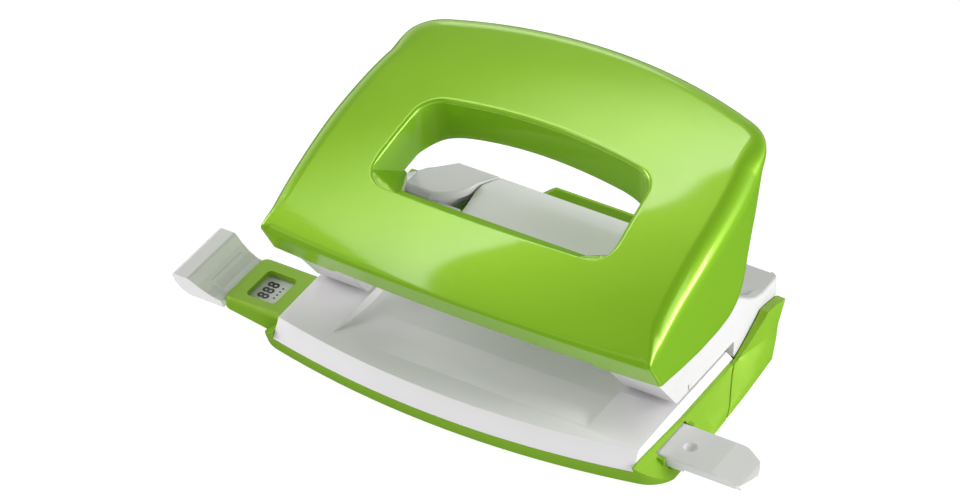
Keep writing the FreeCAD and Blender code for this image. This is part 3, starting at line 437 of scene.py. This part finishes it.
def hole_radius(theta, g):
    """Distance from the ring centre to the rounded cut-out, grown by g."""
    key = round(g, 3)
    if key not in hole_radius.tab:
        pl, pr, ql, qr = (-33.2 - g, -14.5), (31.7 + g, -14.3), (-32.0 - g, 1.0), (30.8 + g, 1.0)
        rl, rr = (-26.2 - 0.17 * g, 7.4 + 0.985 * g), (25.0 + 0.17 * g, 7.5 + 0.985 * g)
        fl, fr = (-28.5, -19.9 - g), (27.0, -19.7 - g)
        pts = [ql] + arc3(ql, (-30.19 - 0.75 * g, 5.19 + 0.66 * g), rl, 25)[1:]
        pts += arc3(rl, (0, 9.6 + g), rr, 61)[1:]
        pts += arc3(rr, (29.04 + 0.75 * g, 5.26 + 0.66 * g), qr, 25)[1:]
        pts += [pr] + arc3(pr, (30.5 + 0.75 * g, -18.0 - 0.66 * g), fr, 25)[1:]
        pts += arc3(fr, (0, -20.7 - g), fl, 61)[1:]
        pts += arc3(fl, (-32.0 - 0.75 * g, -18.2 - 0.66 * g), pl, 25)[1:] + [ql]
        pts = resample(np.array(pts), 2400)[:-1]
        for _ in range(60):
            pts = 0.25 * np.roll(pts, 1, 0) + 0.5 * pts + 0.25 * np.roll(pts, -1, 0)
        pts = np.concatenate([pts, pts[:1]])
        ang = np.unwrap(np.arctan2(pts[:, 1] - CY0, pts[:, 0]))
        rad = np.hypot(pts[:, 1] - CY0, pts[:, 0])
        if ang[-1] < ang[0]:
            ang, rad = ang[::-1], rad[::-1]
        hole_radius.tab[key] = (ang, rad)
    ang, rad = hole_radius.tab[key]
    return np.interp((theta - ang[0]) % (2 * math.pi) + ang[0], ang, rad)


hole_radius.tab = {}
arch_line = natural([-36.0, -32.4, -29.0, -25.0, -18.0, 0.0, 18.0, 25.0, 29.0, 32.4, 36.0],
                    [36.0, 40.6, 43.6, 45.6, 47.0, 47.9, 47.2, 46.2, 44.2, 41.0, 36.0])


def tunnel_low(x, y):
    """Lower edge of the tunnel wall: deep at the sides and front, an arch at the rear."""
    deep = z_top(x, y) - 13.6
    arch = np.where((y > 1.0) & (np.abs(x) < 35.5), arch_line(np.clip(x, -35.5, 35.5)), 0.0)
    d = arch - deep
    return deep + 0.5 * (d + np.sqrt(d * d + 0.36)) * smooth01((y - 1.0) / 1.5)


def conic(p0, p1, p2, w, n):
    """Rational quadratic from p0 to p2 about p1; arrays of shape (m, k)."""
    rows = []
    for t in np.linspace(0, 1, n):
        a, b, c = (1 - t) ** 2, 2 * t * (1 - t) * w, t * t
        rows.append((a * p0 + b * p1 + c * p2) / (a + b + c))
    return rows


def build_handle():
    # angles, closer together at the corners of the outline and of the cut-out
    grid = np.linspace(-math.pi / 2, 3 * math.pi / 2, 20001)
    deg = np.degrees(grid)
    dens = np.ones_like(grid)
    for c, s, a in ((-30.0, 3.0, 9.0), (-24.0, 8.0, 2.0), (24.0, 9.0, 1.5), (34.0, 10.0, 2.0), (-34.0, 5.0, 2.0)):
        for cc in (c, 180.0 - c):
            dd = (deg - cc + 180.0) % 360.0 - 180.0
            dens += a * np.exp(-(dd / s) ** 2)
    cum = np.concatenate([[0], np.cumsum((dens[1:] + dens[:-1]) / 2)])
    N = 560
    th = np.interp(np.arange(N) / N * cum[-1], cum, grid)
    ux, uy = np.cos(th), np.sin(th)

    def at(rho):
        return rho * ux, CY0 + rho * uy

    def P(rho, z):
        x, y = at(rho)
        return np.stack([x, y, z], 1)

    # ridge where the top meets the wall
    rho = outline_radius(th, np.full(N, 45.0), 0.0)
    for _ in range(12):
        x, y = at(rho)
        rho = 0.5 * rho + 0.5 * outline_radius(th, z_top(x, y), 0.0)
    xr, yr = at(rho)
    zr = z_top(xr, yr)
    # radius of the rim: generous along the sides and rear, small at the front edge
    r = 1.2 + 4.6 * smooth01((yr + 36.4) / 7.0)
    # obliqueness of the ray to the wall
    tx, ty = np.gradient(xr), np.gradient(yr)
    tx = np.roll(xr, -1) - np.roll(xr, 1)
    ty = np.roll(yr, -1) - np.roll(yr, 1)
    tl = np.hypot(tx, ty)
    cosa = np.clip(np.abs((ty * ux - tx * uy) / tl), 0.55, 1.0)
    e = 0.05
    xa, ya = at(rho - e)
    slope_in = (z_top(xa, ya) - zr) / e * cosa        # rise per mm going inward, square to the wall
    wall = (outline_radius(th, zr, 0.0) - outline_radius(th, zr - 0.5, 0.0)) / 0.5 * cosa
    t_in = np.stack([-np.ones(N), slope_in], 1)
    t_dn = np.stack([-wall, -np.ones(N)], 1)
    t_in /= np.linalg.norm(t_in, axis=1)[:, None]
    t_dn /= np.linalg.norm(t_dn, axis=1)[:, None]
    cosb = np.sum(t_in * t_dn, 1)                      # angle between the two tangents
    half = np.arccos(np.clip(cosb, -0.999, 0.999)) / 2
    L = r / np.tan(half)
    L = np.minimum(L, 5.2)
    w = np.sin(half)
    Lin = L * (-t_in[:, 0]) / cosa
    # lower edge
    rlow = outline_radius(th, np.full(N, 30.0), 0.0)
    zlow = np.full(N, 30.0)
    for _ in range(30):
        x, y = at(rlow)
        zn = low_line(y)
        zlow = 0.5 * zlow + 0.5 * zn
        rlow = outline_radius(th, zlow, 0.0)
    xl, yl = at(rlow)
    front = smooth01((-29.0 - yl) / 1.0)
    zlow = zlow + front * 1.1 * smooth01((35.4 - np.abs(xl)) / 0.9)
    rlow = outline_radius(th, zlow, 0.0)
    Ldn = np.minimum(L, (zr - zlow) * 0.62)
    # ---- rows of points, starting on the bottom of the tunnel wall and going up and out
    rows = []
    h0, h1 = hole_radius(th, 0.0), hole_radius(th, 2.0)
    x0, y0 = at(h0)
    # finger ledge along the straight part of the front edge
    on = smooth01((25.35 - np.abs(x0)) / 0.35) * (uy < 0)
    ledge = np.where(uy < 0, (-16.6 - y0), 0.0) * on

    def hole_xy(grow, push):
        rr = hole_radius(th, grow)
        x, y = at(rr)
        return x, y + push
    rim = 1.0 - 0.5 * smooth01((-12.0 - y0) / 5.0)
    # outer face of the tunnel wall is built last; inner face first
    zb = tunnel_low(x0, y0)

    def row(x, y, z):
        rows.append(np.stack([x, y, z], 1))
    xi, yi = hole_xy(0.0, 0.0)
    xo, yo = hole_xy(2.0, 0.0)
    # rounded bottom of the tunnel wall, inner half
    for k, (f, dz) in enumerate(((0.5, 0.0), (0.18, 0.06), (0.05, 0.22), (0.0, 0.5))):
        row(xi + (xo - xi) * f, yi + (yo - yi) * f, zb + dz)
    zrim = z_top(x0, y0)
    led_z = zrim - 1.02                                # where the ledge meets the wall
    led_f = led_z - 0.25 * ledge                       # and its free edge
    under = np.where(on > 0.5, np.minimum(led_f - 2.4 - 0.45 * ledge, led_z - 2.0), led_z - 2.0)
    for f in np.linspace(0.14, 1.0, 7):
        row(xi, yi, (zb + 0.5) + (under - zb - 0.5) * f)
    # underside of the ledge, round its free edge and back over its top
    row(xi, yi + ledge * 0.55, led_f - 2.5 + (1.0 - on) * 1.1)
    row(xi, yi + ledge * 0.97, led_f - 2.1 + (1.0 - on) * 0.9)
    row(xi, yi + ledge, led_f - 1.9 + (1.0 - on) * 0.8)
    row(xi, yi + ledge, led_f - 0.62 + (1.0 - on) * 0.1)
    for a in (0.25, 0.5, 0.75, 1.0):
        q = a * math.pi / 2
        row(xi, yi + ledge - 0.35 * on * (1 - math.cos(q)), led_f - 0.42 + 0.36 * math.sin(q))
    for f in (0.35, 0.6, 0.85, 0.965):
        row(x0, y0 + (ledge - 0.35 * on) * (1 - f), led_f + (led_z - led_f) * f)
    row(x0, y0, led_z + 0.08)
    # rim of the cut-out
    for k in range(0, 8):
        a = math.pi / 2 * k / 7
        x, y = at(h0 + (hole_radius(th, 1.0) - h0) * rim * (1 - math.cos(a)))
        row(x, y, z_top(x, y) - rim * (1 - math.sin(a)))
    # top face
    ra = h0 + (hole_radius(th, 1.0) - h0) * rim
    rb = rho - Lin
    for f in np.concatenate([[0.02, 0.06], np.linspace(0.12, 0.94, 26), [0.98]]):
        x, y = at(ra + (rb - ra) * f)
        row(x, y, z_top(x, y))
    # rounded rim of the handle
    xa, ya = at(rb)
    p0 = np.stack([xa, ya, z_top(xa, ya)], 1)
    p1 = np.stack([xr, yr, zr], 1)
    zw = zr - Ldn
    p2 = P(outline_radius(th, zw, 0.0), zw)
    for q in conic(p0, p1, p2, w[:, None], 15):
        rows.append(q)
    # wall
    edge = 0.35
    for f in np.linspace(0.1, 0.9, 9):
        z = zw + (zlow + edge - zw) * f
        rows.append(P(outline_radius(th, z, 0.0), z))
    # rounded lower edge
    c0 = P(outline_radius(th, zlow + edge, 0.0), zlow + edge)
    c1 = P(rlow, zlow)
    c2 = P(rlow - edge, zlow)
    rows += conic(c0, c1, c2, 0.72, 5)
    rin = outline_radius(th, zlow, HWALL)
    c0 = P(rin + edge, zlow)
    c1 = P(rin, zlow)
    c2 = P(outline_radius(th, zlow + edge, HWALL), zlow + edge)
    rows += conic(c0, c1, c2, 0.72, 4)
    # inner wall, up to the underside
    ri = outline_radius(th, np.full(N, 45.0), HWALL)
    for _ in range(12):
        x, y = at(ri)
        ri = 0.5 * ri + 0.5 * outline_radius(th, z_top(x, y) - HWALL * 1.12, HWALL)
    xi2, yi2 = at(ri)
    zi = z_top(xi2, yi2) - HWALL * 1.12
    li = np.minimum(1.6, (zi - zlow) * 0.4)
    for f in np.linspace(0.1, 1.0, 7):
        z = (zlow + edge) + (zi - li - zlow - edge) * f
        rows.append(P(outline_radius(th, z, HWALL), z))
    c0 = P(outline_radius(th, zi - li, HWALL), zi - li)
    xq, yq = at(ri - 1.6)
    c2 = np.stack([xq, yq, z_top(xq, yq) - HWALL * 1.12], 1)
    rows += conic(c0, np.stack([xi2, yi2, zi], 1), c2, 0.72, 5)[1:]
    # underside, in to the tunnel wall
    xt, yt = hole_xy(2.0, 0.0)
    for f in np.linspace(0.1, 0.97, 12):
        x, y = xq + (xt - xq) * f, yq + (yt - yq) * f
        row(x, y, z_top(x, y) - HWALL * 1.12)
    # down the outer face of the tunnel wall
    zu = z_top(xt, yt) - HWALL * 1.12
    for f in np.linspace(0.04, 1.0, 8):
        row(xt, yt, zu + (zb + 0.5 - zu) * f)
    for f, dz in ((0.95, 0.22), (0.82, 0.06)):
        row(xi + (xo - xi) * f, yi + (yo - yi) * f, zb + dz)
    M = len(rows)
    V = np.concatenate(rows) * MM
    faces = []
    for j in range(M):
        a, b = j * N, ((j + 1) % M) * N
        for i in range(N):
            i2 = (i + 1) % N
            faces.append((a + i, a + i2, b + i2, b + i))
    me = mesh_of("handle_cover", V, faces)
    ob = link("handle_cover", me)
    return dress(ob, "handle_green", "handle", "handle_shell")


handle = build_handle()


def corner_web(side):
    """Sloping web that closes a front corner of the cut-out beside the ledge."""
    n, m = 40, 10
    outer = [(-34.4, -2.3), (-34.4, -14.5)] + arc3((-34.4, -14.5), (-32.7, -19.3), (-28.5, -21.2), 14)[1:] + [(-24.9, -21.2)]
    outer = resample(np.array(outer), n)
    inner = resample(np.array([(-32.1, -2.4), (-24.9, -17.0)]), n)
    sx, off = (-1.0, 0.0) if side == "left" else (1.0, -1.3)

    def top(p):
        x = sx * (-p[0] + off)
        z = 48.9 - 0.423 * (p[0] + 33.0) - 0.619 * (p[1] + 16.8)
        lim = float(z_top(x, p[1])) - 1.0
        d = lim - z
        return x, p[1], z + 0.5 * (d - math.sqrt(d * d + 0.04))
    verts, faces = [], []
    for i in range(n):
        for j in range(m):
            t = j / (m - 1)
            x, y, z = top(outer[i] * (1 - t) + inner[i] * t)
            verts.append((x * MM, y * MM, z * MM))
            verts.append((x * MM, y * MM, (z - 2.6) * MM))

    def v(i, j, low):
        return (i * m + j) * 2 + low
    for i in range(n - 1):
        for j in range(m - 1):
            faces.append((v(i, j, 0), v(i, j + 1, 0), v(i + 1, j + 1, 0), v(i + 1, j, 0)))
            faces.append((v(i, j, 1), v(i + 1, j, 1), v(i + 1, j + 1, 1), v(i, j + 1, 1)))
        for j in (0, m - 1):
            faces.append((v(i, j, 0), v(i + 1, j, 0), v(i + 1, j, 1), v(i, j, 1)))
    for j in range(m - 1):
        for i in (0, n - 1):
            faces.append((v(i, j, 0), v(i, j, 1), v(i, j + 1, 1), v(i, j + 1, 0)))
    me = mesh_of("corner_web_" + side, verts, faces)
    me.set_sharp_from_angle(angle=math.radians(40))
    dress(link("corner_web_" + side, me), "handle_green", "handle")


corner_web("left")
corner_web("right")

# bosses for the axle and posts for the bracket screws, inside the handle
for sx, side in ((-1, "left"), (1, "right")):
    lo, hi = 50.0, 51.9
    prof = [(2.05, lo), (3.0, lo), (3.2, lo + 0.2), (3.2, hi), (2.05, hi), (2.05, lo)]
    if sx < 0:
        prof = [(r, -h) for r, h in prof]
    b = lathe("axle_boss_" + side, prof, (0, -20.0, 29.0), "X")
    dress(b, "handle_green", "handle")
    for k, y in enumerate((-9.0, 7.0)):
        top = float(z_top(41.6, y)) - 1.6
        prof = [(1.2, 37.8), (2.4, 37.8), (2.6, 38.0), (2.6, top), (0.0, top), (0.0, 44.0), (1.2, 44.0), (1.2, 37.8)]
        p = lathe("screw_post_%s_%d" % (side, k), prof, (sx * 41.6, y, 0.0), "Z", 40)
        dress(p, "handle_green", "handle")

# ==================================================== pieces with broken edges
soften("base_shell", 0.09, clamp=True)
soften("chip_tray", 0.14, clamp=True)
soften("table_plate", 0.22, clamp=True)
# Side frames: the body's white plastic with its colour painted darker. This is painted shade that offsets the strong
# low light from the right on the cheeks. It keeps the same slight magenta tint.
shaded_frame_white = plastic("shaded_frame_white", (0.70, 0.688, 0.705), 0.40, coat=0.08, coat_rough=0.25, grain=1700.0,
                      grain_h=3.0e-6, grain_s=0.22, vary=0.02, rough_vary=0.06, sss=0.08)
for node in ("side_frame_left", "side_frame_right"):
    soften(node, 0.22, clamp=True).data.materials[0] = shaded_frame_white
soften("rear_ramp", 0.45, clamp=True)
soften("guide_bar", 0.22, clamp=True)
stop = soften("paper_stop", 0.30, clamp=True)
stop.data.materials[0] = plastic("stop_white", (0.93, 0.92, 0.93), 0.34, coat=0.12, coat_rough=0.2, grain=1500.0,
                                 grain_h=2.5e-6, grain_s=0.20, vary=0.02, rough_vary=0.05, sss=0.10)
soften("press_bracket_left", 0.15)
soften("press_bracket_right", 0.15)


# ================================================================= springs
def coil(name, cx, body_joint):
    wire, mean, z0, z1, turns = 0.32, 3.32, 18.32, 29.28, 6.5
    n, m = 300, 14
    verts, faces = [], []
    for i in range(n + 1):
        t = i / n
        a = 2 * math.pi * turns * t
        # the end turns lie flatter than the rest
        s = t
        f = s - 0.045 * math.sin(2 * math.pi * s) / 1.0 * 0.6
        z = z0 + (z1 - z0) * f
        c = Vector((cx + mean * math.cos(a), mean * math.sin(a), z))
        tan = Vector((-math.sin(a), math.cos(a), (z1 - z0) / (2 * math.pi * turns * mean))).normalized()
        rad = Vector((math.cos(a), math.sin(a), 0))
        bi = tan.cross(rad).normalized()
        w = wire * (1.0 if 1 < i < n - 1 else 0.8)
        for k in range(m):
            q = 2 * math.pi * k / m
            v = c + rad * (w * math.cos(q)) + bi * (w * math.sin(q))
            verts.append(v * MM)
    for i in range(n):
        for k in range(m):
            k2 = (k + 1) % m
            faces.append((i * m + k, i * m + k2, (i + 1) * m + k2, (i + 1) * m + k))
    faces.append(tuple(range(m))[::-1])
    faces.append(tuple(n * m + k for k in range(m)))
    me = mesh_of(name, verts, faces)
    return link(name, me)


for side, cx in (("left", -40.0), ("right", 40.0)):
    s = coil("coil_spring_" + side, cx, side)
    dress(s, "spring_steel", "base", "spring_" + side)
    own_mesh(s)


# ============================================= figures on the format strip
def figures():
    cu = bpy.data.curves.new("figures", "FONT")
    cu.body = "888"
    cu.size = 4.1 * MM
    cu.extrude = 0.03 * MM
    cu.offset = 0.12 * MM
    cu.align_x = "CENTER"
    cu.align_y = "CENTER"
    cu.space_character = 1.16
    cu.resolution_u = 8
    ob = link("figures_txt", cu)
    bpy.context.view_layer.update()
    dg = bpy.context.evaluated_depsgraph_get()
    me = bpy.data.meshes.new_from_object(ob.evaluated_get(dg))
    bpy.data.objects.remove(ob)
    me.name = "figures"
    # reads along +Y with its tops towards -X
    rot = Matrix(((0, -1, 0, 0), (1, 0, 0, 0), (0, 0, 1, 0), (0, 0, 0, 1)))
    me.transform(Matrix.Translation((-60.3 * MM, -20.6 * MM, 5.115 * MM)) @ rot)
    me.materials.clear()
    me.materials.append(INK)
    ob = link("figures", me)
    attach(ob, "guide")
    bm = bmesh.new()
    for k in range(4):
        c = Vector((-57.65 * MM, (-22.6 + 1.4 * k) * MM, 5.115 * MM))
        mt = Matrix.Translation(c)
        bmesh.ops.create_cone(bm, cap_ends=True, segments=20, radius1=0.31 * MM, radius2=0.28 * MM, depth=0.06 * MM, matrix=mt)
    me = bpy.data.meshes.new("figure_dots")
    bm.to_mesh(me)
    bm.free()
    me.materials.append(INK)
    ob = link("figure_dots", me)
    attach(ob, "guide")


figures()


# ==================================================================== stage
def floor():
    bm = bmesh.new()
    bmesh.ops.create_grid(bm, x_segments=40, y_segments=40, size=6.0)
    me = bpy.data.meshes.new("floor")
    bm.to_mesh(me)
    bm.free()
    me.transform(Matrix.Translation((0, 0, -0.00005)))
    m, nt, b = new_mat("floor_pale")
    n = tex_noise(nt, 3.0, 2.0)
    nt.links.new(ramp(nt, n.outputs[0], [(0.3, (0.17, 0.17, 0.17)), (0.7, (0.19, 0.19, 0.19))]), b.inputs["Base Color"])
    b.inputs["Roughness"].default_value = 0.7
    b.inputs["Specular IOR Level"].default_value = 0.2
    b.inputs["Emission Color"].default_value = (1, 1, 1, 1)
    b.inputs["Emission Strength"].default_value = 0.92
    me.materials.append(m)
    ob = link("floor", me)
    ob.visible_glossy = False
    return ob


floor()

w = bpy.data.worlds.new("studio")
scene.world = w
w.use_nodes = True
nt = w.node_tree
bg = nt.nodes["Background"]
tc = nt.nodes.new("ShaderNodeTexCoord")
sep = nt.nodes.new("ShaderNodeSeparateXYZ")
nt.links.new(tc.outputs["Generated"], sep.inputs[0])
shade = nt.nodes.new("ShaderNodeValToRGB")
el = shade.color_ramp.elements
el[0].position, el[0].color = 0.0, (0.10, 0.10, 0.10, 1)
el[1].position, el[1].color = 1.0, (0.24, 0.24, 0.24, 1)
for p, c in ((0.47, 0.12), (0.51, 1.35), (0.65, 1.08), (0.80, 0.42)):
    e = el.new(p)
    e.color = (c, c, c, 1)
nt.links.new(span(nt, sep.outputs["Z"], 0.0, 1.0, -1.0, 1.0), shade.inputs[0])
nt.links.new(shade.outputs[0], bg.inputs[0])
# the two sides of the studio are brighter than its front and back
side = nt.nodes.new("ShaderNodeMath")
side.operation = "ABSOLUTE"
nt.links.new(sep.outputs["X"], side.inputs[0])
nt.links.new(span(nt, side.outputs[0], 0.45, 1.15, 0.0, 1.0), bg.inputs[1])


def area(name, loc, target, sx, sy, radiance, roll=None, spread=180.0):
    """Softbox of a given radiance, in m, facing a target."""
    li = bpy.data.lights.new(name, "AREA")
    li.shape = "RECTANGLE"
    li.size, li.size_y = sx, sy
    li.energy = radiance * math.pi * sx * sy
    li.spread = math.radians(spread)
    ob = bpy.data.objects.new(name, li)
    scene.collection.objects.link(ob)
    z = (Vector(loc) - Vector(target)).normalized()
    y = Vector(roll or (0, 0, 1))
    y = (y - z * y.dot(z)).normalized()
    x = y.cross(z)
    ob.matrix_world = Matrix.Translation(loc) @ Matrix((x, y, z)).transposed().to_4x4()
    ob.visible_camera = False
    return ob


def strip(name, edge_a, edge_b, width, z, radiance):
    """Flat softbox at height z whose right-hand edge runs from a to b."""
    a, b = Vector((*edge_a, z)), Vector((*edge_b, z))
    d = (b - a)
    n = Vector((-d.y, d.x, 0)).normalized()
    c = (a + b) / 2 + n * (width / 2)
    return area(name, c, c - Vector((0, 0, 1)), width, d.length, radiance, roll=d.normalized())


# overhead softbox: a crisp right-hand edge and a slow fall-off to the left
def softbox(a, b, width, z, peak, steps=14):
    d = Vector((b[0] - a[0], b[1] - a[1]))
    n = Vector((-d.y, d.x)).normalized()
    for k in range(steps):
        lo, hi = (width * (q / steps) ** 1.4 for q in (k, k + 1))
        start = Vector(a) + d * (0.50 * (k / steps) ** 0.8)     # the outer strips are shorter at the front
        p, q = (tuple(e + n * lo) for e in (start, Vector(b)))
        ob = strip("strip_%02d" % k, p, q, hi - lo, z, peak * (1.0 - (k + 0.5) / steps) ** 1.3)
        ob.visible_diffuse = False


softbox((-0.425, -0.76), (-0.065, 0.49), 0.22, 0.6, 10.0)
area("key_right", (0.95, 0.10, 0.75), (0, 0, 0.02), 0.35, 0.7, 3.0)
area("low_right", (1.15, 0.35, 0.32), (0, 0, 0.03), 0.5, 0.4, 13.0)
area("fill_left", (-1.1, -0.30, 0.55), (0, 0, 0.02), 0.5, 0.4, 9.0)
area("rear_sheen", (-0.60, 1.05, 0.62), (0, 0, 0.05), 0.40, 0.35, 2.6).visible_diffuse = False

# =================================================================== camera
cam = bpy.data.cameras.new("camera")
cam.sensor_width = 36.0
cam.sensor_fit = "HORIZONTAL"
cam.lens = 225.0
cam.clip_start, cam.clip_end = 0.05, 50.0
cam.dof.use_dof = False
co = bpy.data.objects.new("camera", cam)
scene.collection.objects.link(co)
back = Vector((0.40782869, -0.68604327, 0.60251173)).normalized()
right = Vector((0.85958483, 0.51099307, 0.0)).normalized()
up = back.cross(right)
co.matrix_world = Matrix.Translation(Vector((571.56702, -983.84178, 885.53855)) * MM) @ Matrix((right, up, back)).transposed().to_4x4()
scene.camera = co

scene.view_settings.view_transform = "Standard"
scene.view_settings.look = "None"
scene.view_settings.exposure = 0.0
scene.view_settings.gamma = 1.0
